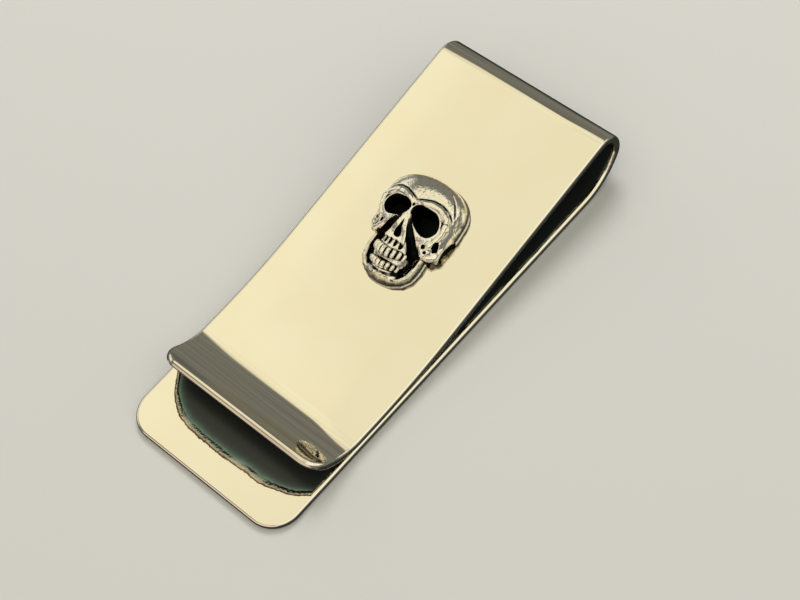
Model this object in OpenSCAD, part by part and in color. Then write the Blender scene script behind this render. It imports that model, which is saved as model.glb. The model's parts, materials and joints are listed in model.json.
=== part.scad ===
// Money clip: a strip of sheet silver folded into a spring, with a cast skull soldered to its front leaf.
// Frame: +X runs from the fold to the open end, +Y across the strip, +Z up from the surface the clip lies on.
// The origin is the middle of the clip's box, at the underside of the back plate.

/* [Strip] */
// Length over everything, from the fold to the plate's open end
clip_length = 60.5; // [56:0.5:66]
// Width of the strip
clip_width = 25; // [22:0.5:30]
// Thickness of the sheet
strip_thickness = 1; // [0.8:0.1:1.3]
// Corner radius at the plate's open end
plate_corner_radius = 3.7; // [2:0.1:6]

/* [Fold] */
// Outside radius of the wide curve that lifts the strip off the surface
heel_radius = 8.45; // [8:0.05:9]
// Degrees that the wide curve turns through
heel_sweep = 51.2; // [48:0.1:54]
// Outside radius of the tight fold above the heel
fold_radius = 2.8; // [2.4:0.05:3.2]

/* [Front leaf] */
// Slope of the leaf's straight stretch, in degrees
leaf_slope = 9.3; // [8.5:0.1:10.5]
// Radius of the long curve that brings the leaf level with the plate
leaf_curve_radius = 80; // [50:1:100]
// Clearance between leaf and plate where the closed clip pinches
pinch_gap = 0.08; // [0.05:0.01:0.3]

/* [Finger lip] */
// Where the lip starts to curl up, measured from the middle of the clip
lip_start = 16; // [15:0.1:18]
// Radius of the lip's upper, hollow face where it starts to curl
lip_radius = 6.7; // [6:0.1:9]
// Degrees that this tighter curl turns through
lip_bend = 34; // [24:1:36]
// Radius of the upper face over the flatter stretch up to the tip
lip_tip_radius = 13; // [11:0.5:18]
// Degrees that the whole lip curls through
lip_angle = 49; // [42:1:54]
// Corner radius at the lip's tip
lip_corner_radius = 2.6; // [1:0.1:4]

/* [Skull] */
// Middle of the skull along the clip
skull_x = -6.95; // [-10:0.05:-4]
// Middle of the skull across the clip
skull_y = 0.5; // [-3:0.1:3]
// Turn of the skull on the leaf, in degrees, with its chin towards the right-hand edge
skull_turn = 5; // [-10:0.5:10]
// Thickness of the solder between skull and leaf
solder_thickness = 0.12; // [0.08:0.01:0.3]
// Number of teeth in each row
tooth_count = 8; // [4:2:8]

/* [Hidden] */
$fn = 64;
silver = [0.90, 0.87, 0.78];
dark_silver = [0.62, 0.60, 0.55];

// Centre of the tight fold, which is also the axis that the leaf flexes about
fold_x = -clip_length / 2 + fold_radius;
fold_z = heel_radius + (fold_radius - heel_radius) * cos(heel_sweep);
// Centre of the heel's curve, where the plate stops being flat
heel_x = fold_x - (fold_radius - heel_radius) * sin(heel_sweep);
// Start of the leaf's straight stretch, on its upper face
root_x = fold_x + fold_radius * sin(leaf_slope);
root_z = fold_z + fold_radius * cos(leaf_slope);
// The leaf's upper face where it lies level along the plate
level_z = 2 * strip_thickness + pinch_gap;
straight_length = (root_z - level_z - leaf_curve_radius * (1 - cos(leaf_slope))) / sin(leaf_slope);
level_x = root_x + straight_length * cos(leaf_slope) + leaf_curve_radius * sin(leaf_slope);
// Flat facets along the leaf's long curve, and along each of the lip's two curls
curve_steps = 24;
curl_steps = 10;
// How far the lip's profile runs past its outline before the outline cuts it
cut_margin = 1;
// Clearance between the outline's end and the lip's tip, so that the tip keeps its own face
cut_clearance = 0.01;
function reverse(list) = [for (i = [len(list) - 1 : -1 : 0]) list[i]];
// Points of a curve that lies under its centre; each tilt is its slope in degrees, rising towards +X
function curl(centre, radius, tilts) = [for (tilt = tilts) centre + radius * [sin(tilt), -cos(tilt)]];
// Skull places and radii, measured from its own middle: +X to the chin, +Z out of the leaf
braincase_centre = [-1.9, 0, -1.3];
braincase_radius = 5.05;
braincase_foot = sqrt(braincase_radius ^ 2 - braincase_centre.z ^ 2);
muzzle_centre = [2.3, 0, 1.5];
muzzle_radius = 2.7;
socket_centre = [-1.2, 2.2, 3.1];
socket_radius = 1.6;
socket_rim_height = 2.35;
socket_rim_radius = 1.8;
socket_rim_half = 0.75;
socket_tilt = 14;
nose_centre = [1.3, 0, 2.6];
nose_radius = 0.8;
cheek_end = [0.7, 3.8, 1];
cheek_length = 1.6;
cheek_half = 1.4;
mouth_x = 4.45;
mouth_gap = 0.12;
chin_centre = [4.1, 0, 1.1];
chin_radius = 2.35;
jaw_x = 3.6;
jaw_radius = 3.0;
jaw_half = 0.62;
jaw_height = 0.55;
jaw_stub = 0.5;
// Teeth: half thickness, degrees between neighbours, then start, end, arch radius and height of each row
tooth_half = 0.3;
tooth_pitch = 17;
upper_row = [3.5, 4.0, 2.4, 3.85];
lower_row = [4.95, 5.3, 2.2, 3.2];
// A box that takes in the whole skull
skull_span = 20;
// Height of the leaf's upper face below the skull
seat_z = root_z - (skull_x - root_x) * tan(leaf_slope);

// A bent stretch of strip, with its axis along Y: angles run anticlockwise from +X towards +Z
module bent_strip(inner_radius, from_angle, sweep) {
  rotate([90, 0, 0])
    rotate([0, 0, from_angle])
      rotate_extrude(angle = sweep, $fn = 180)
        translate([inner_radius, -clip_width / 2]) square([strip_thickness, clip_width]);
}

// A rectangle from x1 to x2, centred across the strip, with its two corners at x2 rounded
module end_outline(x1, x2, corner) {
  translate([x1, -clip_width / 2]) square([x2 - corner - x1, clip_width]);
  translate([x1, -clip_width / 2 + corner]) square([x2 - x1, clip_width - 2 * corner]);
  for (side = [-1, 1]) translate([x2 - corner, side * (clip_width / 2 - corner)]) circle(r = corner);
}

module back_plate() {
  color(silver)
    linear_extrude(strip_thickness) end_outline(heel_x, clip_length / 2, plate_corner_radius);
}

module heel_curve() {
  color(silver)
    translate([heel_x, 0, heel_radius])
      bent_strip(heel_radius - strip_thickness, 270 - heel_sweep, heel_sweep);
}

module spring_fold() {
  color(silver)
    translate([fold_x, 0, fold_z])
      bent_strip(fold_radius - strip_thickness, 90 - leaf_slope, 180 - heel_sweep + leaf_slope);
}

module front_leaf() {
  // The straight stretch is the plain line into the first point of the curve
  tilts = [for (i = [0 : curve_steps]) leaf_slope * (i / curve_steps - 1)];
  centre = [level_x, level_z + leaf_curve_radius];
  upper = curl(centre, leaf_curve_radius, tilts);
  lower = curl(centre, leaf_curve_radius + strip_thickness, tilts);
  root = [root_x, root_z];
  root_lower = root - strip_thickness * [sin(leaf_slope), cos(leaf_slope)];
  end = [lip_start, level_z];
  end_lower = end - [0, strip_thickness];
  color(silver)
    rotate([90, 0, 0])
      linear_extrude(clip_width, center = true)
        polygon(concat([root], upper, [end, end_lower], reverse(lower), [root_lower]));
}

module finger_lip() {
  // Centres of the two curls lie on one line through the point where they meet
  bend_centre = [lip_start, level_z + lip_radius];
  tip_centre = bend_centre + (lip_radius - lip_tip_radius) * [sin(lip_bend), -cos(lip_bend)];
  bend_tilts = [for (i = [0 : curl_steps - 1]) lip_bend * i / curl_steps];
  tip_tilts = [for (i = [0 : curl_steps]) lip_bend + (lip_angle - lip_bend) * i / curl_steps];
  upper = concat(curl(bend_centre, lip_radius, bend_tilts), curl(tip_centre, lip_tip_radius, tip_tilts));
  lower = concat(curl(bend_centre, lip_radius + strip_thickness, bend_tilts),
                 curl(tip_centre, lip_tip_radius + strip_thickness, tip_tilts));
  lip_end = tip_centre.x + (lip_tip_radius + strip_thickness) * sin(lip_angle);
  lip_top = tip_centre.y - lip_tip_radius * cos(lip_angle);
  color(silver)
    intersection() {
      rotate([90, 0, 0])
        linear_extrude(clip_width + 2 * cut_margin, center = true)
          polygon(concat(upper, reverse(lower)));
      linear_extrude(lip_top + strip_thickness)
        end_outline(lip_start - cut_margin, lip_end + cut_clearance, lip_corner_radius);
    }
}

// Children are placed on the sloping leaf, with their own +Z out of it and +X towards the chin
module on_leaf(lift = 0) {
  translate([skull_x, skull_y, seat_z]) rotate([0, leaf_slope, 0]) translate([0, 0, lift])
    rotate([0, 0, skull_turn]) children();
}

// What stands on the leaf between two distances from the skull's middle
module seated(from_x, to_x) {
  intersection() {
    children();
    translate([from_x, -skull_span / 2, 0]) cube([to_x - from_x, skull_span, skull_span / 2]);
  }
}

module ball(centre, radius) {
  translate(centre) sphere(r = radius);
}

// A round rod along X with ball ends, ending at a point
module rod(end, length, radius) {
  translate(end - [length, 0, 0]) rotate([0, 90, 0]) cylinder(r = radius, h = length);
  ball(end, radius);
  ball(end - [length, 0, 0], radius);
}

// A point on one side of the face
function sided(point, side) = [point.x, side * point.y, point.z];

module solder_seam() {
  color(dark_silver)
    on_leaf()
      linear_extrude(solder_thickness) {
        translate([braincase_centre.x, 0]) circle(r = braincase_foot);
        translate([jaw_x, 0]) circle(r = jaw_radius + jaw_half);
      }
}

module skull_cranium() {
  color(silver)
    on_leaf(solder_thickness)
      seated(-skull_span / 2, mouth_x - mouth_gap / 2)
        difference() {
          union() {
            ball(braincase_centre, braincase_radius);
            // The bulge of bone that carries the teeth
            ball(muzzle_centre, muzzle_radius);
            for (side = [-1, 1]) {
              // Rim of the eye socket, with the brow as its upper edge
              translate([socket_centre.x, side * socket_centre.y, socket_rim_height])
                rotate([-side * socket_tilt, 0, 0])
                  rotate_extrude() translate([socket_rim_radius, 0]) circle(r = socket_rim_half);
              // Cheekbone, running back into the arch beside the temple
              rod(sided(cheek_end, side), cheek_length, cheek_half);
            }
          }
          for (side = [-1, 1]) ball(sided(socket_centre, side), socket_radius);
          // Nose opening, narrow towards the eyes
          translate(nose_centre) cylinder(r = nose_radius, h = muzzle_radius, $fn = 3);
        }
}

module skull_jaw() {
  color(silver)
    on_leaf(solder_thickness) {
      // Block of bone under the lower teeth
      seated(mouth_x + mouth_gap / 2, skull_span / 2) ball(chin_centre, chin_radius);
      // Horseshoe of the jawbone, open towards the cheeks
      seated(0, skull_span / 2) {
        translate([jaw_x, 0, jaw_height]) rotate([0, 0, -90])
          rotate_extrude(angle = 180) translate([jaw_radius, 0]) circle(r = jaw_half);
        for (side = [-1, 1]) rod([jaw_x, side * jaw_radius, jaw_height], jaw_stub, jaw_half);
      }
    }
}

// One row of teeth round the front of the mouth, each a small rod with ball ends
module tooth_row(row) {
  for (i = [0 : tooth_count - 1])
    let (turn = (i - (tooth_count - 1) / 2) * tooth_pitch)
      rod([row[1], row[2] * sin(turn), row[3] + row[2] * (cos(turn) - 1)], row[1] - row[0], tooth_half);
}

module skull_upper_teeth() {
  color(silver) on_leaf(solder_thickness) tooth_row(upper_row);
}

module skull_lower_teeth() {
  color(silver) on_leaf(solder_thickness) tooth_row(lower_row);
}

back_plate();
heel_curve();
spring_fold();
front_leaf();
finger_lip();
solder_seam();
skull_cranium();
skull_jaw();
skull_upper_teeth();
skull_lower_teeth();
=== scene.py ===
"""Money clip: polished strip silver, folded into a spring, with a cast and blackened skull on its front leaf.

Lengths are worked out in millimetres and become metres where a mesh is made.
"""
import json
import math

import bpy
import numpy as np
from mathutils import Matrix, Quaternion, Vector


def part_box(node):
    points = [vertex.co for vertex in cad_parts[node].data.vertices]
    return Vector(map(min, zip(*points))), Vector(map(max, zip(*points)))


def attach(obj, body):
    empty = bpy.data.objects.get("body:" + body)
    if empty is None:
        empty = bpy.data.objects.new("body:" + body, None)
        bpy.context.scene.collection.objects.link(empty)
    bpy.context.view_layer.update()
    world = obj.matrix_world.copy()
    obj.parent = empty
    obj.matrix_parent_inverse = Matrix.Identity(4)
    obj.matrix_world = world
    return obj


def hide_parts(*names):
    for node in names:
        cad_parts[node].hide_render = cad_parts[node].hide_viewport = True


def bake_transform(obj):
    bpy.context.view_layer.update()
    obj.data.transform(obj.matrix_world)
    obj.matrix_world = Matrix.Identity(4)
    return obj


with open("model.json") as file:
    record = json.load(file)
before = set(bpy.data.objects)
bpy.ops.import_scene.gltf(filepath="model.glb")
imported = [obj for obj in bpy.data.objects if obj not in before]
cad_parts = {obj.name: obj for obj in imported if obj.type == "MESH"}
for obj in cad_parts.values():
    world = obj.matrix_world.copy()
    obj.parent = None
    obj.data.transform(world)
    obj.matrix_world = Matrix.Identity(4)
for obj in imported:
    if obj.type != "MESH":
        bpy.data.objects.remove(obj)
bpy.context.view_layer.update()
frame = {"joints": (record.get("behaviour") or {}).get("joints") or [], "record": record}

MM = 0.001

# ---------------------------------------------------------------- sizes taken from the frame


def node_box(name):
    """Lowest and highest corner of a CAD node, in millimetres."""
    low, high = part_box(name)
    return np.array(low) / MM, np.array(high) / MM


PLATE_LOW, PLATE_HIGH = node_box("back_plate")
FOLD_LOW = node_box("spring_fold")[0]
LEAF_LOW = node_box("front_leaf")[0]
LIP_LOW, LIP_HIGH = node_box("finger_lip")
HINGE = next(j for j in frame["joints"] if j["name"] == "leaf_flex")

THICKNESS = PLATE_HIGH[2] - PLATE_LOW[2]
HALF_WIDTH = (PLATE_HIGH[1] - PLATE_LOW[1]) / 2
PLATE_END = PLATE_HIGH[0]
FOLD_CENTRE = np.array([HINGE["pos_m"][0], HINGE["pos_m"][2]]) / MM
FOLD_RADIUS = FOLD_CENTRE[0] - FOLD_LOW[0]
HEEL_X = PLATE_LOW[0]
HEEL_RADIUS = ((FOLD_CENTRE[0] - HEEL_X) ** 2 + FOLD_CENTRE[1] ** 2 - FOLD_RADIUS ** 2) / (
    2 * (FOLD_CENTRE[1] - FOLD_RADIUS))
HEEL_SWEEP = math.atan2(HEEL_X - FOLD_CENTRE[0], HEEL_RADIUS - FOLD_CENTRE[1])
LEAF_SLOPE = math.asin((LEAF_LOW[0] - FOLD_CENTRE[0]) / (FOLD_RADIUS - THICKNESS))
LEVEL_Z = LIP_LOW[2] + THICKNESS
LIP_START = LIP_LOW[0]

# Shapes that the boxes don't give
LEAF_CURVE_RADIUS = 80.0
LIP_RADIUS = 6.7
LIP_BEND = math.radians(34)
LIP_TIP_RADIUS = 13.0
PLATE_CORNER = 3.7
LIP_CORNER = 2.6
EDGE_ROUND = 0.42

ROOT = FOLD_CENTRE + FOLD_RADIUS * np.array([math.sin(LEAF_SLOPE), math.cos(LEAF_SLOPE)])
STRAIGHT = (ROOT[1] - LEVEL_Z - LEAF_CURVE_RADIUS * (1 - math.cos(LEAF_SLOPE))) / math.sin(LEAF_SLOPE)
LEVEL_X = ROOT[0] + STRAIGHT * math.cos(LEAF_SLOPE) + LEAF_CURVE_RADIUS * math.sin(LEAF_SLOPE)
LIP_BEND_RISE = LIP_RADIUS * (1 - math.cos(LIP_BEND))
LIP_ANGLE = math.acos(math.cos(LIP_BEND) - (LIP_HIGH[2] - LEVEL_Z - LIP_BEND_RISE) / LIP_TIP_RADIUS)
LIP_LENGTH = LIP_BEND * LIP_RADIUS + (LIP_ANGLE - LIP_BEND) * LIP_TIP_RADIUS

# ---------------------------------------------------------------- the strip's path
# Each path function takes a distance in mm and returns the point on the strip's outer face and that face's
# outward normal, both in the XZ plane. The outer face is under the plate, round the fold and on top of the
# leaf.


def arc_point(centre, radius, angle):
    """A point of a circle and its outward direction, anticlockwise from +X towards +Z."""
    outward = np.array([math.cos(angle), math.sin(angle)])
    return np.array(centre) + radius * outward, outward


def plate_path(s):
    return np.array([HEEL_X + s, 0.0]), np.array([0.0, -1.0])


def heel_path(s):
    return arc_point([HEEL_X, HEEL_RADIUS], HEEL_RADIUS, 1.5 * math.pi - s / HEEL_RADIUS)


def fold_path(s):
    return arc_point(FOLD_CENTRE, FOLD_RADIUS, 1.5 * math.pi - HEEL_SWEEP - s / FOLD_RADIUS)


def leaf_path(s):
    down = np.array([math.cos(LEAF_SLOPE), -math.sin(LEAF_SLOPE)])
    if s <= STRAIGHT:
        return ROOT + s * down, np.array([math.sin(LEAF_SLOPE), math.cos(LEAF_SLOPE)])
    tilt = LEAF_SLOPE - (s - STRAIGHT) / LEAF_CURVE_RADIUS
    if tilt <= 0:
        return np.array([LEVEL_X - tilt * LEAF_CURVE_RADIUS, LEVEL_Z]), np.array([0.0, 1.0])
    point, outward = arc_point([LEVEL_X, LEVEL_Z + LEAF_CURVE_RADIUS], LEAF_CURVE_RADIUS, -math.pi / 2 - tilt)
    return point, -outward


def lip_path(s):
    centre = np.array([LIP_START, LEVEL_Z + LIP_RADIUS])
    radius, tilt = LIP_RADIUS, s / LIP_RADIUS
    if tilt > LIP_BEND:
        radius, tilt = LIP_TIP_RADIUS, LIP_BEND + (s - LIP_BEND * LIP_RADIUS) / LIP_TIP_RADIUS
        centre += (LIP_RADIUS - LIP_TIP_RADIUS) * np.array([math.sin(LIP_BEND), -math.cos(LIP_BEND)])
    point, outward = arc_point(centre, radius, -math.pi / 2 + tilt)
    return point, -outward


# ---------------------------------------------------------------- strip meshes

ROUND_STEPS = 7
CORNER_STEPS = 14


def edge_levels():
    """Steps over a rounded edge, from outer face to inner: inset from the outline, depth, and how much of the
    normal points out of the outline and out of the face."""
    quarter = [math.pi / 2 * k / ROUND_STEPS for k in range(ROUND_STEPS + 1)]
    outer = [(EDGE_ROUND * (1 - math.sin(a)), EDGE_ROUND * (1 - math.cos(a)), math.sin(a), math.cos(a))
             for a in quarter]
    inner = [(EDGE_ROUND * (1 - math.cos(a)), THICKNESS - EDGE_ROUND * (1 - math.sin(a)),
              math.cos(a), -math.sin(a)) for a in quarter]
    return outer + inner


def strip_side(distances, corner):
    """Outline of one side, y positive: distance, y, and the outline's normal along and across the path."""
    side = [(s, HALF_WIDTH, 0.0, 1.0) for s in distances]
    if corner:
        for k in range(1, CORNER_STEPS + 1):
            turn = math.pi / 2 * k / CORNER_STEPS
            side.append((distances[-1] + corner * math.sin(turn), HALF_WIDTH - corner * (1 - math.cos(turn)),
                         math.sin(turn), math.cos(turn)))
    return side


def heading(path, s):
    """Which way the strip runs at a distance."""
    forward = path(s + 0.01)[0] - path(s - 0.01)[0]
    return forward / np.linalg.norm(forward)


def strip_rings(path, outline):
    """For each point of the outline, a ring over the edge: points, normals and places on the strip."""
    points, normals, places = [], [], []
    for s, y, out_s, out_y in outline:
        for inset, depth, out_part, face_part in edge_levels():
            along = s - inset * out_s
            surface, outward = path(along)
            x, z = surface - depth * outward
            points.append((x, y - inset * out_y, z))
            nx, nz = out_part * out_s * heading(path, along) + face_part * outward
            normals.append((nx, out_part * out_y, nz))
            places.append((along, y - inset * out_y, depth))
    return points, normals, places


class Shell:
    """Faces of a closed mesh, each turned so that it looks the way its normals point."""

    def __init__(self, points, normals):
        self.points, self.normals = points, normals
        self.faces, self.face_normals = [], []

    def add(self, corners, flat=None):
        outward = [flat if flat is not None else self.normals[c] for c in corners]
        ring = [np.array(self.points[c]) for c in corners]
        facing = sum(np.cross(a, b) for a, b in zip(ring, ring[1:] + ring[:1]))
        turned = facing @ np.sum(outward, axis=0) < 0
        self.faces.append(corners[::-1] if turned else corners)
        self.face_normals += outward[::-1] if turned else outward


def cover_strip(shell, count, rounded_end):
    """The faces over the rounded edges, then those across the two flat faces."""
    half, deep = count // 2, 2 * (ROUND_STEPS + 1)
    runs = list(range(half - 1)) + ([half - 1] if rounded_end else []) + list(range(half, count - 1))
    for j in runs:
        for k in range(deep - 1):
            a, b = j * deep + k, (j + 1) * deep + k
            shell.add([a, a + 1, b + 1, b])
    for j in range(half - 1):
        left, left_next = j * deep, (j + 1) * deep
        right, right_next = (count - 1 - j) * deep, (count - 2 - j) * deep
        shell.add([left, left_next, right_next, right])
        shell.add([right + deep - 1, right_next + deep - 1, left_next + deep - 1, left + deep - 1])


def end_strip(shell, one, other, forward):
    """The flat face that closes an end which meets the next stretch, between two rings."""
    deep = 2 * (ROUND_STEPS + 1)
    loop = [one * deep + k for k in range(deep)] + [other * deep + k for k in reversed(range(deep))]
    shell.add(loop, (forward[0], 0.0, forward[1]))


def strip_piece(name, path, distances, corner=0.0):
    """A stretch of strip as one closed mesh with rounded edges. A corner radius rounds off its far end."""
    side = strip_side(list(distances), corner)
    outline = side + [(s, -y, ns, -ny) for s, y, ns, ny in reversed(side)]
    points, normals, places = strip_rings(path, outline)
    shell = Shell(points, normals)
    cover_strip(shell, len(outline), bool(corner))
    end_strip(shell, 0, len(outline) - 1, -heading(path, side[0][0]))
    if not corner:
        end_strip(shell, len(side) - 1, len(side), heading(path, side[-1][0]))
    mesh = bpy.data.meshes.new(name)
    mesh.from_pydata([tuple(MM * c for c in p) for p in points], [], shell.faces)
    mesh.shade_smooth()
    store_vector(mesh, "strip_place", places)
    store_vector(mesh, "strip_rest", points)
    mesh.normals_split_custom_set(shell.face_normals)
    mesh.validate()
    piece = bpy.data.objects.new(name, mesh)
    bpy.context.scene.collection.objects.link(piece)
    return piece


def store_vector(mesh, name, values):
    """A vector for each vertex, in millimetres, that the materials read."""
    attribute = mesh.attributes.new(name, "FLOAT_VECTOR", "POINT")
    attribute.data.foreach_set("vector", np.array(values, np.float32).ravel())


def spaced(start, stop, step):
    """Even distances from start to stop, no further apart than step."""
    return np.linspace(start, stop, max(2, math.ceil((stop - start) / step) + 1))


def build_strip():
    plate_reach = PLATE_END - HEEL_X - PLATE_CORNER
    lip_reach = LIP_LENGTH - LIP_CORNER
    leaf_reach = STRAIGHT + LEAF_SLOPE * LEAF_CURVE_RADIUS + LIP_START - LEVEL_X
    leaf_distances = np.concatenate([spaced(0, STRAIGHT, 2), spaced(STRAIGHT, leaf_reach, 0.5)[1:]])
    fold_reach = (math.pi - HEEL_SWEEP + LEAF_SLOPE) * FOLD_RADIUS
    return {
        "back_plate": strip_piece("back_plate_visual", plate_path, spaced(0, plate_reach, 2), PLATE_CORNER),
        "heel_curve": strip_piece("heel_curve_visual", heel_path, spaced(0, HEEL_SWEEP * HEEL_RADIUS, 0.2)),
        "spring_fold": strip_piece("spring_fold_visual", fold_path, spaced(0, fold_reach, 0.06)),
        "front_leaf": strip_piece("front_leaf_visual", leaf_path, leaf_distances),
        "finger_lip": strip_piece("finger_lip_visual", lip_path, spaced(0, lip_reach, 0.12), LIP_CORNER),
    }


# ---------------------------------------------------------------- the skull
# It is sculpted as a distance field, negative inside, in its own frame and in mm: u towards the chin, v
# across, w out of the leaf. Every shape is drawn for v above zero and mirrored. One cheek is shifted after.

SKULL_MIDDLE = np.array([-6.95, 0.5])
SEAT_Z = ROOT[1] - (SKULL_MIDDLE[0] - ROOT[0]) * math.tan(LEAF_SLOPE)
SKULL_TURN = math.radians(5)
SKULL_LOW, SKULL_HIGH = (-7.2, 0.0, -0.15), (7.9, 6.1, 4.6)
SKULL_STEP = 0.07
TOOTH_STEP = 0.05
BASE_HEIGHT = 0.06
MOUTH_U = 4.95
TEETH_A_SIDE = 4
TOOTH_TURN = math.radians(16.5)
MOUTH_HALF_GAP = 0.06
FAR = 9.0
CROWDING_STEP, FINE_REACH, BROAD_REACH = 0.1, 2, 6


def soft_min(a, b, soft):
    """The nearer of two distances, rounded over where they are within soft of each other."""
    near = np.maximum(soft - np.abs(a - b), 0) / soft
    return np.minimum(a, b) - near * near * soft / 4


def rounded_loop(points, steps=6):
    """A closed smooth curve through given points."""
    corners = np.array(points, float)
    before, after, beyond = np.roll(corners, 1, 0), np.roll(corners, -1, 0), np.roll(corners, -2, 0)
    loop = []
    for k in range(len(corners)):
        for t in np.arange(steps) / steps:
            loop.append(0.5 * (2 * corners[k] + (after[k] - before[k]) * t
                               + (2 * before[k] - 5 * corners[k] + 4 * after[k] - beyond[k]) * t ** 2
                               + (3 * corners[k] - before[k] - 3 * after[k] + beyond[k]) * t ** 3))
    return np.array(loop)


def both_sides(values):
    """A grid drawn for v from zero up, with its mirror image before it."""
    return np.concatenate([values[:, :0:-1], values], axis=1)


def mirrored(points):
    """A loop drawn from the middle line round one side, closed on the other."""
    return points + [(u, -v) for u, v in reversed(points) if v > 0]


class Clay:
    """One half of a sculpted solid. Shapes are added or carved only where they reach."""

    def __init__(self, low, high, step):
        self.step = step
        self.axes = [np.arange(a, b + step / 2, step, dtype=np.float32) for a, b in zip(low, high)]
        self.field = np.full([len(axis) for axis in self.axes], FAR, np.float32)
        self.skin = None

    def window(self, low, high, margin=0.9):
        """The part of the grid between two corners, and its coordinates."""
        cut = tuple(slice(int(np.searchsorted(axis, a - margin)), int(np.searchsorted(axis, b + margin)))
                    for axis, a, b in zip(self.axes, low, high))
        u, v, w = np.meshgrid(*(axis[c] for axis, c in zip(self.axes, cut)), indexing="ij", sparse=True)
        return cut, u, v, w

    def blob(self, centre, radii, powers=(2, 2, 2), turn=0.0, lean=0.0):
        """A rounded lump: powers below 2 peak it, above 2 box it. It turns about u and leans about v."""
        reach = max(radii)
        cut, u, v, w = self.window([c - reach for c in centre], [c + reach for c in centre])
        du, dv, dw = u - centre[0], v - centre[1], w - centre[2]
        dv, dw = dv * math.cos(turn) - dw * math.sin(turn), dv * math.sin(turn) + dw * math.cos(turn)
        du, dw = du * math.cos(lean) - dw * math.sin(lean), du * math.sin(lean) + dw * math.cos(lean)
        total, slope = -1.0, 1e-6
        for offset, radius, power in zip((du, dv, dw), radii, powers):
            part = np.sqrt((offset / radius) ** 2 + 1e-4)
            total = total + part ** power
            slope = slope + (power * part ** (power - 1) / radius) ** 2
        return cut, total / np.sqrt(slope)

    def rope(self, points, radii, wall=False):
        """A line with a round section that may taper. A wall also reaches straight down to the leaf."""
        reach = max(radii)
        low, high = np.min(points, 0) - reach, np.max(points, 0) + reach
        if wall:
            low[2] = SKULL_LOW[2]
        cut, u, v, w = self.window(low, high)
        nearest = np.full(np.broadcast_shapes(u.shape, v.shape, w.shape), FAR, np.float32)
        for a, b, near, far in zip(points, points[1:], radii, radii[1:]):
            step = [q - p for p, q in zip(a, b)]
            depth = 0.0 if wall else step[2]
            length = step[0] ** 2 + step[1] ** 2 + depth ** 2
            t = np.clip(((u - a[0]) * step[0] + (v - a[1]) * step[1] + (w - a[2]) * depth) / length, 0, 1)
            over = w - a[2] - t * step[2]
            over = np.maximum(over, 0) if wall else over
            gap = np.sqrt((u - a[0] - t * step[0]) ** 2 + (v - a[1] - t * step[1]) ** 2 + over ** 2)
            nearest = np.minimum(nearest, gap - near - t * (far - near))
        return cut, nearest

    def pit(self, outline, top, floor, narrowing=0.0):
        """The space inside an outline, between a floor and above, narrower towards the floor."""
        loop = rounded_loop(outline)
        low, high = loop.min(0), loop.max(0)
        cut, u, v, w = self.window((low[0], low[1], floor), (high[0], high[1], SKULL_HIGH[2]))
        gap = np.full(np.broadcast_shapes(u.shape, v.shape), FAR)
        inside = np.zeros(gap.shape, bool)
        for (au, av), (bu, bv) in zip(loop, np.roll(loop, -1, 0)):
            length = (bu - au) ** 2 + (bv - av) ** 2
            t = np.clip(((u - au) * (bu - au) + (v - av) * (bv - av)) / length, 0, 1)
            gap = np.minimum(gap, np.hypot(u - au - t * (bu - au), v - av - t * (bv - av)))
            crosses = (av > v) != (bv > v)
            rise = bv - av if abs(bv - av) > 1e-9 else 1e-9
            inside = inside ^ (crosses & (u < au + (v - av) * (bu - au) / rise))
        distance = np.where(inside, -gap, gap) + narrowing * (top - w)
        return cut, np.maximum(distance, floor - w).astype(np.float32)

    def drape(self, points, sink=0.0):
        """Points given as (u, v), set that far below the solid's top face."""
        draped = []
        for u, v in points:
            i, j = (int(np.argmin(np.abs(axis - at))) for axis, at in zip(self.axes, (u, v)))
            column = self.field[i, j]
            top = int(np.max(np.nonzero(column < 0)[0], initial=0))
            part = column[top] / (column[top] - column[top + 1])
            draped.append((u, v, float(self.axes[2][top] + part * self.step) - sink))
        return draped

    def add(self, shape, soft=0.2):
        cut, values = shape
        self.field[cut] = soft_min(self.field[cut], values, soft)

    def carve(self, shape, soft=0.1):
        cut, values = shape
        if self.skin is None:
            self.skin = self.field.copy()
        self.field[cut] = -soft_min(-self.field[cut], values, soft)

    def wrap(self, shape):
        """The skin becomes the solid with a smooth shape over it. What lies well below it is blackened."""
        cut, values = shape
        self.skin = self.field.copy()
        self.skin[cut] = np.minimum(self.skin[cut], values)

    def keep(self, values, soft=0.05):
        """Leaves only where values is negative."""
        self.field = -soft_min(-self.field, -values, soft)

    def whole(self):
        """Both sides: the field, the solid's skin before it was carved, and the axes."""
        skin = self.field if self.skin is None else self.skin
        axes = [self.axes[0], np.concatenate([-self.axes[1][:0:-1], self.axes[1]]), self.axes[2]]
        return both_sides(self.field), both_sides(skin), axes

    def coordinates(self):
        return np.meshgrid(*self.axes, indexing="ij", sparse=True)


SOCKET = [(-2.35, 1.5), (-2.35, 2.9), (-1.6, 3.7), (-0.5, 3.95), (0.5, 3.4), (0.65, 2.5), (0.0, 1.3),
          (-0.85, 0.45), (-1.6, 0.22), (-2.1, 0.6)]
NOSE_OPENING = [(0.0, 0.0), (0.8, 0.2), (1.5, 0.46), (1.95, 0.4), (2.1, 0.0)]


def sculpt_cranium():
    clay = Clay(SKULL_LOW, SKULL_HIGH, SKULL_STEP)
    clay.add(clay.blob((-1.85, 0, 0.5), (4.85, 5.35, 3.4), (3.1, 2.1, 2.2)))
    sculpt_face(clay)
    sculpt_brow(clay)
    sculpt_cheek(clay)
    carve_face(clay)
    sculpt_nose(clay)
    u, _, w = clay.coordinates()
    clay.keep(u - MOUTH_U + MOUTH_HALF_GAP)
    clay.keep(BASE_HEIGHT - w)
    return clay


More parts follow.
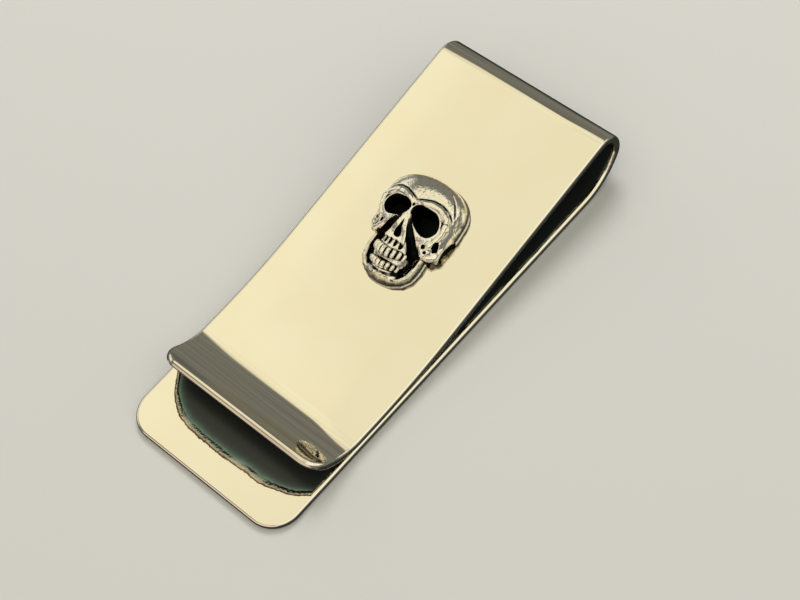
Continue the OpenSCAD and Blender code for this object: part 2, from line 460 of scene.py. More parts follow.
def sculpt_face(clay):
    """The middle of the face and the round bone that carries the upper teeth."""
    clay.add(clay.blob((0.4, 0, 0.3), (2.5, 3.8, 2.7), (2.0, 1.8, 2.0)), 0.5)
    clay.add(clay.blob((2.9, 0, 0.7), (2.8, 2.45, 2.2), (4.0, 2.0, 2.0)), 0.3)
    clay.add(clay.rope([(-2.2, 0, 3.2), (-1.5, 0, 2.9), (-0.9, 0, 3.3)], [0.34, 0.24, 0.2]), 0.12)


def sculpt_brow(clay):
    """The brow with a crease above it, the ridge of bone beside the eye and the line up the temple."""
    crest = clay.drape([(-2.2, 0.35), (-2.62, 0.95), (-2.98, 1.9), (-2.98, 3.0), (-2.5, 3.95), (-1.6, 4.4)],
                       0.2)
    clay.add(clay.rope(crest, [0.3, 0.42, 0.44, 0.42, 0.42, 0.36]), 0.1)
    crease = clay.drape([(-2.75, 0.0), (-3.1, 0.75), (-3.5, 1.8), (-3.6, 2.9), (-3.3, 3.95), (-2.5, 4.7)],
                        0.02)
    clay.carve(clay.rope(crease, [0.11, 0.09, 0.09, 0.1, 0.1, 0.08]), 0.06)
    beside_eye = clay.drape([(-1.7, 4.35), (-0.7, 4.35), (0.4, 4.15), (1.1, 3.8)], 0.12)
    clay.add(clay.rope(beside_eye, [0.36, 0.34, 0.34, 0.4]), 0.12)
    temple = clay.drape([(-5.4, 2.9), (-4.7, 3.7), (-3.9, 4.25), (-3.2, 4.6)], 0.0)
    clay.carve(clay.rope(temple, [0.1, 0.15, 0.16, 0.12]), 0.08)
    clay.carve(clay.blob((-2.9, 5.75, 2.3), (1.5, 0.85, 1.3)), 0.3)


def sculpt_cheek(clay):
    """The cheekbone with its sharp upper ridge, and the arch that runs back from it."""
    clay.add(clay.blob((1.35, 3.2, 1.2), (1.4, 1.25, 1.25)), 0.3)
    clay.add(clay.rope([(-0.7, 0.75, 3.05), (0.5, 1.95, 2.85), (1.5, 2.85, 2.45), (2.25, 3.55, 1.95)],
                       [0.15, 0.2, 0.28, 0.46]), 0.1)
    arch = [(2.2, 3.9, 1.4), (1.75, 4.7, 1.15), (0.4, 4.85, 1.15), (-0.9, 4.85, 1.2), (-1.9, 4.6, 1.2)]
    clay.add(clay.rope(arch, [0.48, 0.34, 0.27, 0.28, 0.4]), 0.1)
    clay.add(clay.blob((1.5, 4.45, 0.9), (0.7, 0.65, 0.85)), 0.12)


def carve_face(clay):
    """The eye sockets, the dark hollows beside the nose and under the arch, and the small pits."""
    clay.wrap(clay.blob((0.9, 0, 0.4), (4.6, 3.9, 2.8), (2.6, 1.7, 2.0)))
    beside_nose = clay.drape([(-0.85, 0.33), (-0.1, 0.75), (0.6, 1.15), (1.5, 1.72), (2.5, 2.35), (4.3, 3.1)],
                             0.2)
    rim = clay.drape([(-2.52, 1.5), (-2.62, 3.0), (-1.8, 3.98), (-0.6, 4.28), (0.5, 3.9)], 0.0)
    clay.carve(clay.pit(SOCKET, 3.0, 0.8, 0.1), 0.07)
    clay.carve(clay.rope(rim, [0.08, 0.11, 0.11, 0.1, 0.07]), 0.04)
    clay.carve(clay.rope(beside_nose, [0.1, 0.25, 0.42, 0.58, 0.74, 0.8]), 0.06)
    clay.carve(clay.blob((0.75, 4.4, 1.75), (0.75, 0.27, 0.9)), 0.06)
    clay.carve(clay.blob((0.6, 5.2, 0.3), (1.9, 0.75, 0.6)), 0.08)
    clay.carve(clay.blob((2.9, 4.1, 0.5), (0.85, 1.3, 0.8)), 0.12)
    for (u, v), radius in (((1.55, 3.35), 0.26), ((2.0, 3.75), 0.2), ((-2.05, 0.0), 0.2)):
        clay.carve(clay.blob(clay.drape([(u, v)])[0], (radius, radius * 0.8, 0.35)), 0.05)


def sculpt_nose(clay):
    """A flat-topped tent of bone with sharp edges, a drop-shaped opening and the roots' pits below."""
    cut, u, v, w = clay.window((-1.0, 0, 2.0), (2.7, 1.7, 4.0))
    along = np.clip((u + 0.95) / 3.4, 0, 1)
    side = (np.abs(v) - 0.06 - 1.3 * along) / 1.08
    top = w - 3.68 + 0.62 * along
    ends = np.maximum(-1.0 - u, u - 2.5)
    clay.add((cut, np.maximum(np.maximum(side, top), ends).astype(np.float32)), 0.06)
    clay.add(clay.rope([(-0.95, 0.0, 3.6), (-0.3, 0.24, 3.56), (2.45, 1.28, 2.95)], [0.17, 0.15, 0.19]), 0.05)
    clay.carve(clay.pit(mirrored(NOSE_OPENING), 3.4, 2.2, 0.06), 0.05)
    for v, lean in ((0.36, 0.0), (1.05, 0.3)):
        spot = clay.drape([(2.75, v)])[0]
        clay.carve(clay.blob(spot, (0.42, 0.2, 0.42), (2, 2, 2), -lean), 0.04)


def sculpt_jaw():
    clay = Clay(SKULL_LOW, SKULL_HIGH, SKULL_STEP)
    clay.add(clay.blob((4.6, 0, 0.35), (1.75, 1.85, 1.75), (3.0, 2.0, 2.0)))
    clay.add(clay.blob((5.95, 0, 0.3), (1.25, 2.3, 1.65), (2.4, 2.2, 2.0)), 0.3)
    rim = [(6.8, 0, 0.95), (6.62, 1.3, 0.95), (6.1, 2.45, 0.95), (5.2, 3.15, 0.98), (3.9, 3.4, 1.02),
           (2.7, 3.42, 1.1)]
    clay.add(clay.rope(rim, [0.36, 0.34, 0.32, 0.3, 0.27, 0.2], wall=True), 0.08)
    clay.add(clay.blob((3.8, 2.5, 0.1), (2.0, 1.1, 0.5), (3, 2, 2)), 0.1)
    clay.wrap(clay.blob((4.2, 0, 0.2), (3.0, 3.6, 2.4), (2.4, 1.8, 2.0)))
    groove = [(6.36, 0, 1.85), (6.12, 1.3, 1.7), (5.5, 2.2, 1.3), (4.5, 2.6, 1.1), (3.0, 2.65, 1.0)]
    clay.carve(clay.rope(groove, [0.13, 0.17, 0.26, 0.42, 0.46]), 0.06)
    for v in (0.4, 1.15, 1.85):
        clay.carve(clay.blob(clay.drape([(6.52, v)])[0], (0.13, 0.2, 0.16)), 0.05)
    u, v, w = clay.coordinates()
    clay.keep(MOUTH_U + MOUTH_HALF_GAP - u - 3.2 * np.clip((np.abs(v) - 2.4) / 0.5, 0, 1))
    clay.keep(BASE_HEIGHT - w)
    return clay


def sculpt_teeth(middle, half_length, axis_height, arch, lean):
    """One row, each tooth a boxy lump facing out of the round of the mouth, smaller towards the back."""
    clay = Clay((middle - 1.4, 0, 0.5), (middle + 1.2, 3.0, 4.3), TOOTH_STEP)
    for k in range(TEETH_A_SIDE):
        turn = (k + 0.5) * TOOTH_TURN
        scale = 1 - 0.06 * k
        centre = (middle - 0.15 * k, arch * math.sin(turn), axis_height + arch * math.cos(turn))
        radii = (half_length * scale, 0.285 * scale, 0.4)
        clay.add(clay.blob(centre, radii, (3.4, 2.4, 2.0), turn, lean), 0.02)
    return clay


def surface_net(field, axes):
    """A field's zero surface: one vertex for each cell that it crosses, and outward four-sided faces."""
    solid = field < 0
    cells = [n - 1 for n in field.shape]
    corners = [(i, j, k) for i in (0, 1) for j in (0, 1) for k in (0, 1)]

    def corner_of(values, at):
        return values[tuple(slice(a, a + n) for a, n in zip(at, cells))]

    count = sum(corner_of(solid, at).astype(np.int8) for at in corners)
    crossed = (count > 0) & (count < 8)
    numbers = np.full(cells, -1, np.int32)
    numbers[crossed] = np.arange(crossed.sum())
    total, hits = np.zeros((int(crossed.sum()), 3)), np.zeros((int(crossed.sum()), 1))
    for a in corners:
        for axis in range(3):
            if a[axis]:
                continue
            b = tuple(1 if i == axis else a[i] for i in range(3))
            fa, fb = corner_of(field, a)[crossed], corner_of(field, b)[crossed]
            cut = (fa < 0) != (fb < 0)
            place = np.tile(np.array(a, float), (len(fa), 1))
            place[:, axis] = fa / np.where(cut, fa - fb, 1)
            total += place * cut[:, None]
            hits += cut[:, None]
    grid = np.argwhere(crossed) + total / hits
    points = np.stack([np.interp(grid[:, i], np.arange(len(axes[i])), axes[i]) for i in range(3)], -1)
    return points, net_faces(solid, numbers)


def net_faces(solid, numbers):
    """The four cells round each grid edge that crosses the surface, in outward order."""
    faces = []
    for axis in range(3):
        one, two = (axis + 1) % 3, (axis + 2) % 3
        shape = [slice(1, n - 1) for n in solid.shape]
        near, far = list(shape), list(shape)
        near[axis], far[axis] = slice(0, solid.shape[axis] - 1), slice(1, solid.shape[axis])
        here, there = solid[tuple(near)], solid[tuple(far)]
        for leaving in (True, False):
            at = np.argwhere((here != there) & (here == leaving))
            at[:, one] += 1
            at[:, two] += 1
            ring = []
            for back_one, back_two in ((1, 1), (0, 1), (0, 0), (1, 0)):
                cell = at.copy()
                cell[:, one] -= back_one
                cell[:, two] -= back_two
                ring.append(numbers[tuple(cell.T)])
            quads = np.stack(ring, -1)
            faces.append(quads if leaving else quads[:, ::-1])
    return np.concatenate(faces)


def sampled(field, axes, points):
    """A field's value at each point, between its grid values."""
    places = [np.clip(np.interp(points[:, i], axes[i], np.arange(len(axes[i]))), 0, len(axes[i]) - 1.001)
              for i in range(3)]
    base = [p.astype(int) for p in places]
    part = [p - b for p, b in zip(places, base)]
    value = 0.0
    for i in (0, 1):
        for j in (0, 1):
            for k in (0, 1):
                share = [part[n] if bit else 1 - part[n] for n, bit in enumerate((i, j, k))]
                value = value + share[0] * share[1] * share[2] * field[base[0] + i, base[1] + j, base[2] + k]
    return value


def blurred(values, reach):
    """Values averaged over a soft ball that many grid steps across, along each axis in turn."""
    for axis in range(3):
        for _ in range(3):
            pad = [(reach + 1, reach) if i == axis else (0, 0) for i in range(3)]
            sums = np.cumsum(np.pad(values, pad, mode="edge"), axis=axis, dtype=np.float64)
            size = values.shape[axis]
            upper = np.take(sums, np.arange(size) + 2 * reach + 1, axis=axis)
            values = (upper - np.take(sums, np.arange(size), axis=axis)) / (2 * reach + 1)
    return values


def cast_crowding(pieces):
    """How much metal is close by, at two reaches: half on a flat face, more in a hollow, less on a ridge."""
    axes = [np.arange(a, b, CROWDING_STEP) for a, b in zip((-7.6, 0.0, -0.9), (7.6, 6.6, 5.2))]
    u, v, w = np.meshgrid(*axes, indexing="ij")
    spots = np.stack([u.ravel(), v.ravel(), w.ravel()], -1)
    nearest = np.full(len(spots), FAR)
    for clay in pieces:
        inside = np.all([(spots[:, i] >= axis[0]) & (spots[:, i] <= axis[-1])
                         for i, axis in enumerate(clay.axes)], axis=0)
        nearest[inside] = np.minimum(nearest[inside], sampled(clay.field, clay.axes, spots[inside]))
    metal = np.where(nearest.reshape(u.shape) < 0, 1.0, 0.0)
    metal[:, :, w[0, 0] < 0] = 1.0
    both_axes = [axes[0], np.concatenate([-axes[1][:0:-1], axes[1]]), axes[2]]
    return both_axes, blurred(both_sides(metal), FINE_REACH), blurred(both_sides(metal), BROAD_REACH)


def raise_left_cheek(points):
    """The casting isn't even: the cheek on its left sits closer to the brow than the one on its right."""
    beside = np.clip((-points[:, 1] - 0.5) / 2.0, 0, 1)
    reach = np.exp(-((points[:, 0] - 1.1) / 1.7) ** 2)
    shift = beside * beside * (3 - 2 * beside) * reach
    return points + shift[:, None] * np.array([-0.65, 0.3, 0.0])


def on_leaf(points):
    """Points or directions of the skull's frame, turned to the leaf's slope but not yet moved there."""
    u = points[:, 0] * math.cos(SKULL_TURN) - points[:, 1] * math.sin(SKULL_TURN)
    v = points[:, 0] * math.sin(SKULL_TURN) + points[:, 1] * math.cos(SKULL_TURN)
    w = points[:, 2]
    cos, sin = math.cos(LEAF_SLOPE), math.sin(LEAF_SLOPE)
    return np.stack([u * cos + w * sin, v, w * cos - u * sin], -1)


def cast_piece(name, field, skin, axes, crowding):
    """A piece of the casting as one closed mesh, smooth by its field, that knows its hollows."""
    points, faces = surface_net(field, axes)
    slopes = np.gradient(field.astype(np.float64), *axes)
    normals = np.stack([sampled(slope, axes, points) for slope in slopes], -1)
    normals /= np.maximum(np.linalg.norm(normals, axis=1, keepdims=True), 1e-9)
    crowd_axes, fine, broad = crowding
    look = np.stack([sampled(fine, crowd_axes, points + 0.1 * normals),
                     sampled(broad, crowd_axes, points + 0.25 * normals), -sampled(skin, axes, points)], -1)
    placed = on_leaf(raise_left_cheek(points)) + np.array([SKULL_MIDDLE[0], SKULL_MIDDLE[1], SEAT_Z])
    mesh = bpy.data.meshes.new(name)
    mesh.from_pydata((placed * MM).tolist(), [], faces.tolist())
    mesh.shade_smooth()
    store_vector(mesh, "cast_look", look)
    store_vector(mesh, "cast_place", points)
    mesh.normals_split_custom_set_from_vertices(on_leaf(normals).tolist())
    piece = bpy.data.objects.new(name, mesh)
    bpy.context.scene.collection.objects.link(piece)
    return piece


def closed(field):
    """A field with its border left outside the solid, so that its surface has no open edge."""
    field = field.copy()
    for axis in range(3):
        for end in (0, -1):
            cut = [slice(None)] * 3
            cut[axis] = end
            field[tuple(cut)] = np.maximum(field[tuple(cut)], 0.02)
    return field


def build_skull():
    cranium, jaw = sculpt_cranium(), sculpt_jaw()
    upper = sculpt_teeth(4.15, 0.66, 0.9, 2.25, 0.10)
    lower = sculpt_teeth(5.58, 0.50, 0.5, 2.0, 0.28)
    crowding = cast_crowding([cranium, jaw, upper, lower])
    pieces = {}
    for node, clay in (("skull_cranium", cranium), ("skull_jaw", jaw), ("skull_upper_teeth", upper),
                       ("skull_lower_teeth", lower)):
        field, skin, axes = clay.whole()
        pieces[node] = cast_piece(node + "_visual", closed(field), skin, axes, crowding)
    pieces["solder_seam"] = build_solder([cranium, jaw], crowding)
    return pieces


def build_solder(pieces, crowding):
    """The thin flange of solder that stands a little way out round the skull's foot and hollows up to it."""
    rim, flange = 0.2, 0.16
    heights = np.arange(-0.04, rim + 0.03, 0.02)
    level = BASE_HEIGHT + 0.12
    foot = np.min([clay.field[:, :, np.searchsorted(clay.axes[2], level)] for clay in pieces], axis=0)
    axes = [*pieces[0].whole()[2][:2], heights]
    foot = both_sides(foot)
    spread = flange * (1 - np.clip(heights / rim, 0, 1)) ** 2
    field = np.maximum(foot[:, :, None] - spread[None, None, :], (heights - rim + 0.03)[None, None, :])
    field = np.maximum(field, -0.02 - heights[None, None, :])
    return cast_piece("solder_seam_visual", closed(field.astype(np.float32)), field, axes, crowding)


# ---------------------------------------------------------------- materials


SILVER = (0.95, 0.905, 0.76, 1)
SILVER_WARM = (0.945, 0.885, 0.725, 1)
# Darker streaks at the fold and the lip: draw lines, and partly a painted reflection of the dark room.
STREAK_AND_PAINTED_REFLECTION = (0.44, 0.41, 0.34, 1)
OXIDE = (0.009, 0.010, 0.010, 1)
CAST_SILVER = (0.95, 0.91, 0.79, 1)
CAST_SHADE = (0.40, 0.37, 0.32, 1)
SOLDER = (0.62, 0.58, 0.50, 1)

# The inside of the clip is painted dark, as painted shade and painted reflection, up to a ragged line on the
# plate. Lengths are in mm, and the colours run inwards from that line.
INSIDE_SHADE_END = PLATE_END - 3.45
INSIDE_SHADE_LEAN = 0.03
INSIDE_SHADE_DROP, INSIDE_SHADE_DROP_POWER = 4.8, 4.0
INSIDE_SHADE_MIDDLE, INSIDE_SHADE_HALF = 1.5, 12.8
INSIDE_SHADE_SIDE_MARGIN, INSIDE_SHADE_SIDE_SLOPE = 0.35, 3.0
INSIDE_SHADE_WANDER, INSIDE_SHADE_RAGGED = 0.7, 0.3
INSIDE_SHADE_COLOUR_REACH = 2.0
# The colours from that line inwards are painted reflection and painted shade: a pale band, then dark
# blue-green.
INSIDE_SHADE_COLOURS = ((0.0, (0.14, 0.085, 0.045)), (0.012, (0.16, 0.10, 0.055)), (0.04, (0.56, 0.48, 0.36)),
                 (0.12, (0.40, 0.42, 0.34)), (0.28, (0.19, 0.25, 0.215)), (0.5, (0.085, 0.135, 0.12)),
                 (0.76, (0.050, 0.066, 0.062)), (1.0, (0.034, 0.040, 0.037)))
# Metallic is lowered inside the line, so that the painted shade stays dark.
INSIDE_SHADE_DULLS = (0.6, 1.8, 0.0, 0.5)
CRUST_PATCHES, CRUST_BAND = (0.40, 0.52), (0.35, 0.8)
# Depths at which the inner face begins and the outer face ends, in parts of the thickness
INNER_FACE, OUTER_FACE = (0.62, 0.8), (0.3, 0.6)
ROLL_OFF_REACH, ROLL_OFF_BEYOND, ROLL_OFF_LEFT, ROLL_OFF_RIGHT = 6.5, 0.5, 0.04, 0.17
BEND_FADE, LIP_FADE = 0.6, 2
# Bumps in the strip: depth in metres, strength
DRAW_LINES, SLOW_WAVES, HAIRLINES, CRUST = (0.000005, 0.5), (0.00008, 0.4), (0.0000015, 0.5), (0.0003, 0.9)

# The casting is bright below the first value and black above the second, for crowding and for depth in mm.
# Its foot is black up to the first height above the leaf, and bright from the second; that black is partly
# oxide and partly painted shade where the skull meets the leaf.
FINE_BLACK, BROAD_BLACK, SUNK_BLACK = (0.385, 0.50), (0.47, 0.60), (0.22, 0.44)
FOOT_BLACK = (0.45, 1.5)
CHIN, CHIN_FOOT_DROP = (5.8, 6.9), 0.35
PITTED, PIT_BLACK = (0.60, 0.68), 0.62


class Nodes:
    """A short way to write a node tree."""

    def __init__(self, tree):
        self.tree = tree

    def feed(self, node, **inputs):
        """Sets or links inputs, by name with _ for each space, or by number as i0."""
        for key, value in inputs.items():
            numbered = key[0] == "i" and key[1:].isdigit()
            socket = node.inputs[int(key[1:])] if numbered else node.inputs[key.replace("_", " ")]
            if isinstance(value, bpy.types.NodeSocket):
                self.tree.links.new(value, socket)
            else:
                socket.default_value = value
        return node

    def add(self, kind, settings=None, **inputs):
        node = self.tree.nodes.new(kind)
        for key, value in (settings or {}).items():
            setattr(node, key, value)
        return self.feed(node, **inputs)

    def math(self, operation, a, b=0.0):
        return self.add("ShaderNodeMath", {"operation": operation}, i0=a, i1=b).outputs[0]

    def plus(self, a, b):
        return self.math("ADD", a, b)

    def minus(self, a, b):
        return self.math("SUBTRACT", a, b)

    def times(self, a, b):
        return self.math("MULTIPLY", a, b)

    def highest(self, a, b):
        return self.math("MAXIMUM", a, b)

    def ramp(self, value, low, high, to_low=0.0, to_high=1.0):
        return self.add("ShaderNodeMapRange", {"interpolation_type": "SMOOTHSTEP"}, Value=value, From_Min=low,
                        From_Max=high, To_Min=to_low, To_Max=to_high).outputs[0]

    def mix(self, factor, a, b):
        return self.add("ShaderNodeMix", {"data_type": "RGBA"}, i0=factor, i6=a, i7=b).outputs[2]

    def attribute(self, name):
        return self.add("ShaderNodeAttribute", {"attribute_name": name}).outputs["Vector"]

    def split(self, vector):
        return self.add("ShaderNodeSeparateXYZ", i0=vector).outputs

    def noise(self, vector, scale, detail):
        return self.add("ShaderNodeTexNoise", Vector=vector, Scale=scale, Detail=detail).outputs[0]

    def bump(self, height, distance, strength, **under):
        node = self.add("ShaderNodeBump", Height=height, Distance=distance, Strength=strength, **under)
        return node.outputs[0]


def new_material(name):
    material = bpy.data.materials.new(name)
    material.use_nodes = True
    return material, Nodes(material.node_tree), material.node_tree.nodes["Principled BSDF"]


def painted_inside_shade(n, rest, depth):
    """How many mm into the painted inside shade a point is, and whether it is on the strip's inner face."""
    x, y, _ = n.split(rest)
    slow, ragged = n.noise(rest, 0.3, 1.0), n.noise(rest, 2.4, 3.0)
    off_middle = n.math("DIVIDE", n.math("ABSOLUTE", n.minus(y, INSIDE_SHADE_MIDDLE)), INSIDE_SHADE_HALF)
    drop = n.times(n.math("POWER", off_middle, INSIDE_SHADE_DROP_POWER), INSIDE_SHADE_DROP)
    end = n.minus(n.minus(INSIDE_SHADE_END, n.times(y, INSIDE_SHADE_LEAN)), drop)
    from_side = n.times(n.minus(HALF_WIDTH - INSIDE_SHADE_SIDE_MARGIN, n.math("ABSOLUTE", y)), INSIDE_SHADE_SIDE_SLOPE)
    wander = n.plus(n.times(n.minus(slow, 0.5), INSIDE_SHADE_WANDER), n.times(n.minus(ragged, 0.5), INSIDE_SHADE_RAGGED))
    inside = n.plus(n.math("MINIMUM", n.minus(end, x), from_side), wander)
    return inside, n.ramp(depth, INNER_FACE[0] * THICKNESS, INNER_FACE[1] * THICKNESS)


def inside_shade_colour(n, inside):
    # The painted shade and reflection inside the clip, coloured from its line inwards.
    shade_ramp = n.add("ShaderNodeValToRGB", Fac=n.ramp(inside, 0.0, INSIDE_SHADE_COLOUR_REACH))
    stops = shade_ramp.color_ramp.elements
    while len(stops) < len(INSIDE_SHADE_COLOURS):
        stops.new(0.5)
    for stop, (at, colour) in zip(stops, INSIDE_SHADE_COLOURS):
        stop.position = at
        stop.color = (*colour, 1)
    return shade_ramp.outputs[0]


def crust_height(n, rest, inside, painted_inside):
    """A pitted crust, in places, along the edge of the painted inside shade."""
    crusted = n.times(n.ramp(n.noise(rest, 0.22, 1.0), *CRUST_PATCHES), n.ramp(inside, *CRUST_BAND, 1.0, 0.0))
    return n.times(n.noise(rest, 2.6, 3.0), n.times(painted_inside, crusted))


def rolled_normal(n, place, normal):
    """The polished face seems to fall away towards its long edges: the shading leans, the mesh doesn't."""
    _, y, depth = n.split(place)
    near_edge = n.ramp(n.math("ABSOLUTE", y), HALF_WIDTH - ROLL_OFF_REACH, HALF_WIDTH + ROLL_OFF_BEYOND)
    outer = n.ramp(depth, OUTER_FACE[0] * THICKNESS, OUTER_FACE[1] * THICKNESS, 1.0, 0.0)
    most = n.ramp(y, -0.1, 0.1, -ROLL_OFF_LEFT, ROLL_OFF_RIGHT)
    aside = n.add("ShaderNodeCombineXYZ", Y=n.times(n.times(near_edge, outer), most)).outputs[0]
    leaned = n.add("ShaderNodeVectorMath", {"operation": "ADD"}, i0=normal, i1=aside).outputs[0]
    return n.add("ShaderNodeVectorMath", {"operation": "NORMALIZE"}, i0=leaned).outputs[0]


def strip_bump(n, place, draw, crust):
    """Draw lines across the strip, slow waves, hairline scratches, and the crust on the inside."""
    hairs = n.add("ShaderNodeMapping", Vector=place, Rotation=(0, 0, 0.6), Scale=(0.5, 18.0, 1.0)).outputs[0]
    bump = n.bump(draw, *DRAW_LINES)
    bump = n.bump(n.noise(place, 0.06, 1.0), *SLOW_WAVES, Normal=bump)
    bump = n.bump(n.noise(hairs, 1.0, 3.0), *HAIRLINES, Normal=bump)
    return n.bump(crust, *CRUST, Normal=bump)


def silver_with_streaks_and_painted_reflection(n, rest, draw, smudge):
    """The sheet's colour, a little smudged, with draw lines drawn out dark where bent hardest, partly as
    painted reflection.
    """
    x, _, z = n.split(rest)
    on_lip = n.times(n.ramp(x, LIP_START, LIP_START + LIP_FADE), n.ramp(z, LEVEL_Z - THICKNESS, LEVEL_Z))
    bent = n.highest(on_lip, n.ramp(x, ROOT[0] - BEND_FADE, ROOT[0], 1.0, 0.0))
    silver = n.mix(n.ramp(smudge, 0.3, 0.7), SILVER, SILVER_WARM)
    # The streaks darken only where bent: draw lines there, and partly a painted reflection.
    return n.mix(n.times(bent, n.ramp(draw, 0.3, 0.72, 0.0, 0.5)), silver, STREAK_AND_PAINTED_REFLECTION)


def polished_silver():
    """Mirror polish, faint draw lines and hairline scratches, painted shade and reflection on the inside."""
    material, n, shader = new_material("polished_silver")
    place, rest = n.attribute("strip_place"), n.attribute("strip_rest")
    inside, inner = painted_inside_shade(n, rest, n.split(place)[2])
    # Where the inside of the clip is painted dark as shade and reflection.
    painted_inside = n.times(inner, n.ramp(inside, -0.02, 0.06))
    streaks = n.add("ShaderNodeMapping", Vector=place, Scale=(3.2, 0.035, 1.0)).outputs[0]
    draw, smudge = n.noise(streaks, 1.0, 5.0), n.noise(place, 0.12, 2.0)
    bump = strip_bump(n, place, draw, crust_height(n, rest, inside, painted_inside))
    n.feed(shader, Base_Color=n.mix(painted_inside, silver_with_streaks_and_painted_reflection(n, rest, draw, smudge), inside_shade_colour(n, inside)),
           Roughness=n.plus(n.ramp(smudge, 0.3, 0.8, 0.04, 0.06), n.times(painted_inside, 0.24)),
           Normal=rolled_normal(n, place, bump),
           Metallic=n.minus(1.0, n.times(painted_inside, n.ramp(inside, *INSIDE_SHADE_DULLS))))
    return material


def cast_black(n, look, place, breakup, grain):
    """How black the casting is: in hollows, below its skin, near the leaf and in its pits."""
    fine, broad, depth = look
    towards_chin, _, above_leaf = n.split(place)
    hollow = n.ramp(n.plus(fine, breakup), *FINE_BLACK)
    deep = n.ramp(n.plus(broad, breakup), *BROAD_BLACK)
    sunk = n.ramp(n.plus(depth, breakup), *SUNK_BLACK)
    # Near the leaf the black is partly painted shade, where the skull meets the leaf and higher under the
    # chin.
    over_foot = n.minus(above_leaf, n.times(n.ramp(towards_chin, *CHIN), CHIN_FOOT_DROP))
    foot = n.ramp(n.plus(over_foot, n.times(breakup, 12.0)), *FOOT_BLACK, 0.96, 0.0)
    recess = n.highest(n.highest(hollow, foot), n.highest(deep, sunk))
    return n.highest(recess, n.times(n.ramp(grain, *PITTED), PIT_BLACK))


def oxidised_silver():
    """Cast silver, black in its hollows and pits, polished bright on everything that stands out."""
    material, n, shader = new_material("oxidised_silver")
    look, place = n.split(n.attribute("cast_look")), n.attribute("cast_place")
    patches, grain = n.noise(place, 1.6, 4.0), n.noise(place, 3.4, 2.0)
    breakup = n.times(n.minus(patches, 0.5), 0.10)
    black = cast_black(n, look, place, breakup, grain)
    tone = n.mix(n.ramp(look[0], 0.30, 0.42), CAST_SILVER, CAST_SHADE)
    bright = n.mix(n.ramp(patches, 0.4, 0.7, 0.1, 0.6), CAST_SILVER, tone)
    n.feed(shader, Base_Color=n.mix(black, bright, OXIDE), Roughness=n.ramp(black, 0.0, 1.0, 0.13, 0.5),
           Normal=n.bump(grain, 0.00005, 0.7), Metallic=1.0)
    return material


def silver_solder():
    """Duller than the sheet, a little rough where it ran out under the casting."""
    material, n, shader = new_material("silver_solder")
    flow = n.noise(n.attribute("cast_place"), 3.0, 3.0)
    n.feed(shader, Base_Color=n.mix(n.ramp(flow, 0.4, 0.7), SOLDER, CAST_SHADE),
           Normal=n.bump(flow, 0.00002, 0.5), Roughness=0.22, Metallic=1.0)
    return material


# ---------------------------------------------------------------- studio


CAMERA_AZIMUTH, CAMERA_ELEVATION, CAMERA_ROLL = math.radians(149.2), math.radians(57.64), math.radians(-20)
CAMERA_DISTANCE, CAMERA_TARGET = 231.7, (-0.73, 2.90, 0)

# The room's bright and dark areas, by the X, Y and Z of a direction. Each fades in from its first value to
# its second.
CEILING_EDGE, CEILING_GLOW = (0.69, 0.735), (0.83, 0.90, 0.95, 0.87)
WALL_SIDE, WALL_FOOT = (0.35, 0.55), (0.15, 0.3)
FAR_WALL_SIDE, FAR_WALL_FOOT, FAR_WALL_LEVEL = (-0.86, -0.74), (0.0, 0.15), 0.85
CARD_FRONT, CARD_FOOT = (0.72, 0.84), (-0.3, -0.15)
ROOM_HEIGHTS = (-0.5, -0.05)
CEILING_COLOUR, WALL_COLOUR, CARD_COLOUR = (1.0, 0.94, 0.72), (1.0, 0.97, 0.84, 1), (0.80, 0.66, 0.56, 1)
LOW_ROOM, DIM_ROOM = (0.034, 0.038, 0.035, 1), (0.188, 0.187, 0.168, 1)

FLOOR_SIZE, FLOOR_DROP, FLOOR_COLOUR = 3.0, 0.00002, (0.62, 0.64, 0.68, 1)


def build_camera():
    """The camera stands at the photograph's viewing angle, with its roll."""
    target = Vector(CAMERA_TARGET) * MM
    back = Vector((math.sin(CAMERA_AZIMUTH) * math.cos(CAMERA_ELEVATION),
                   -math.cos(CAMERA_AZIMUTH) * math.cos(CAMERA_ELEVATION), math.sin(CAMERA_ELEVATION)))
    data = bpy.data.cameras.new("camera")
    data.lens = 90
    data.sensor_width = 36
    data.clip_start = 0.01
    data.clip_end = 10
    camera = bpy.data.objects.new("camera", data)
    camera.rotation_mode = "QUATERNION"
    camera.rotation_quaternion = (-back).to_track_quat("-Z", "Y") @ Quaternion((0, 0, 1), CAMERA_ROLL)
    camera.location = target + CAMERA_DISTANCE * MM * back
    bpy.context.scene.collection.objects.link(camera)
    bpy.context.scene.camera = camera


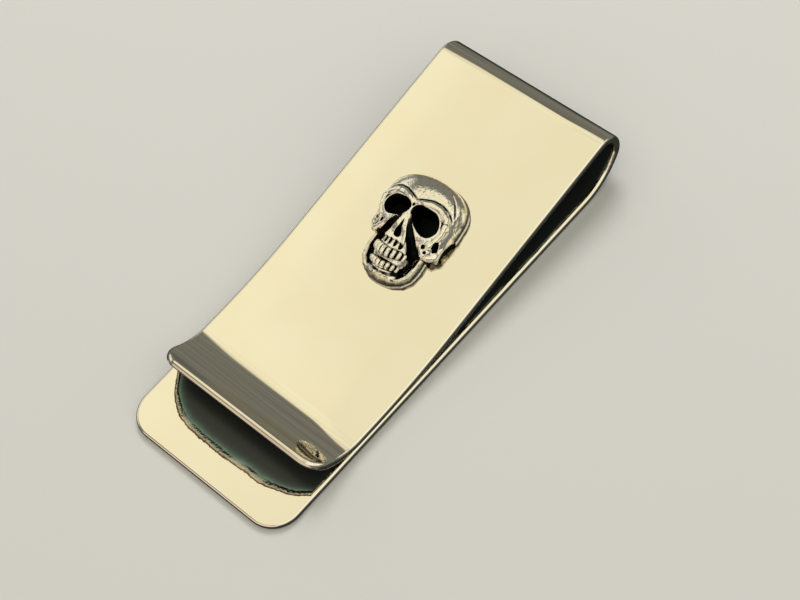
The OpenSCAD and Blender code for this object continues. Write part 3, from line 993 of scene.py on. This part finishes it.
def build_world():
    """A bright soft ceiling over a dim room, with a pale wall on each side and a warm card in front."""
    world = bpy.data.worlds.new("studio")
    bpy.context.scene.world = world
    world.use_nodes = True
    n = Nodes(world.node_tree)
    ahead, beside, height = n.split(n.add("ShaderNodeTexCoord").outputs["Generated"])
    glow = n.ramp(height, *CEILING_GLOW)
    bright = n.add("ShaderNodeVectorMath", {"operation": "SCALE"}, i0=CEILING_COLOUR, Scale=glow).outputs[0]
    wall = n.times(n.ramp(beside, *WALL_SIDE), n.ramp(height, *WALL_FOOT))
    far_wall = n.times(n.ramp(beside, *FAR_WALL_SIDE, FAR_WALL_LEVEL, 0.0), n.ramp(height, *FAR_WALL_FOOT))
    card = n.times(n.ramp(ahead, *CARD_FRONT), n.ramp(height, *CARD_FOOT))
    dim = n.mix(n.ramp(height, *ROOM_HEIGHTS), LOW_ROOM, DIM_ROOM)
    room = n.mix(n.highest(wall, far_wall), dim, WALL_COLOUR)
    colour = n.mix(n.ramp(height, *CEILING_EDGE), n.mix(card, room, CARD_COLOUR), bright)
    n.feed(world.node_tree.nodes["Background"], Color=colour, Strength=1.0)


def build_floor():
    """A plain pale floor that the mirror finish doesn't show."""
    mesh = bpy.data.meshes.new("floor")
    corners = ((-1, -1), (1, -1), (1, 1), (-1, 1))
    mesh.from_pydata([(FLOOR_SIZE * x, FLOOR_SIZE * y, -FLOOR_DROP) for x, y in corners], [], [(0, 1, 2, 3)])
    floor = bpy.data.objects.new("floor", mesh)
    bpy.context.scene.collection.objects.link(floor)
    material, n, shader = new_material("floor_pale")
    n.feed(shader, Base_Color=FLOOR_COLOUR, Roughness=0.9)
    mesh.materials.append(material)
    floor.visible_glossy = False


def build_lights():
    light = bpy.data.lights.new("key", "AREA")
    light.shape = "DISK"
    light.size = 0.25
    light.energy = 1.2
    light.color = (1.0, 0.96, 0.88)
    lamp = bpy.data.objects.new("key", light)
    lamp.location = (-0.28, -0.16, 0.42)
    lamp.rotation_mode = "QUATERNION"
    lamp.rotation_quaternion = (-lamp.location).to_track_quat("-Z", "Y")
    lamp.visible_glossy = False
    bpy.context.scene.collection.objects.link(lamp)


def assemble():
    strip = build_strip()
    silver = polished_silver()
    cast, solder = oxidised_silver(), silver_solder()
    bodies = frame["record"]["behaviour"]["bodies"]
    body_of = {node: body for body, members in bodies.items() for node in members}
    for node, piece in strip.items():
        piece.data.materials.append(silver)
        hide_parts(node)
        if node != "spring_fold":
            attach(piece, body_of[node])
    for node, piece in build_skull().items():
        material, slot = (solder, "silver_solder") if node == "solder_seam" else (cast, "oxidised_silver")
        piece.data.materials.append(material)
        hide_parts(node)
        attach(piece, body_of[node])
    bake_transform(strip["spring_fold"])


bpy.context.scene.view_settings.view_transform = "Standard"
assemble()
build_floor()
build_world()
build_lights()
build_camera()
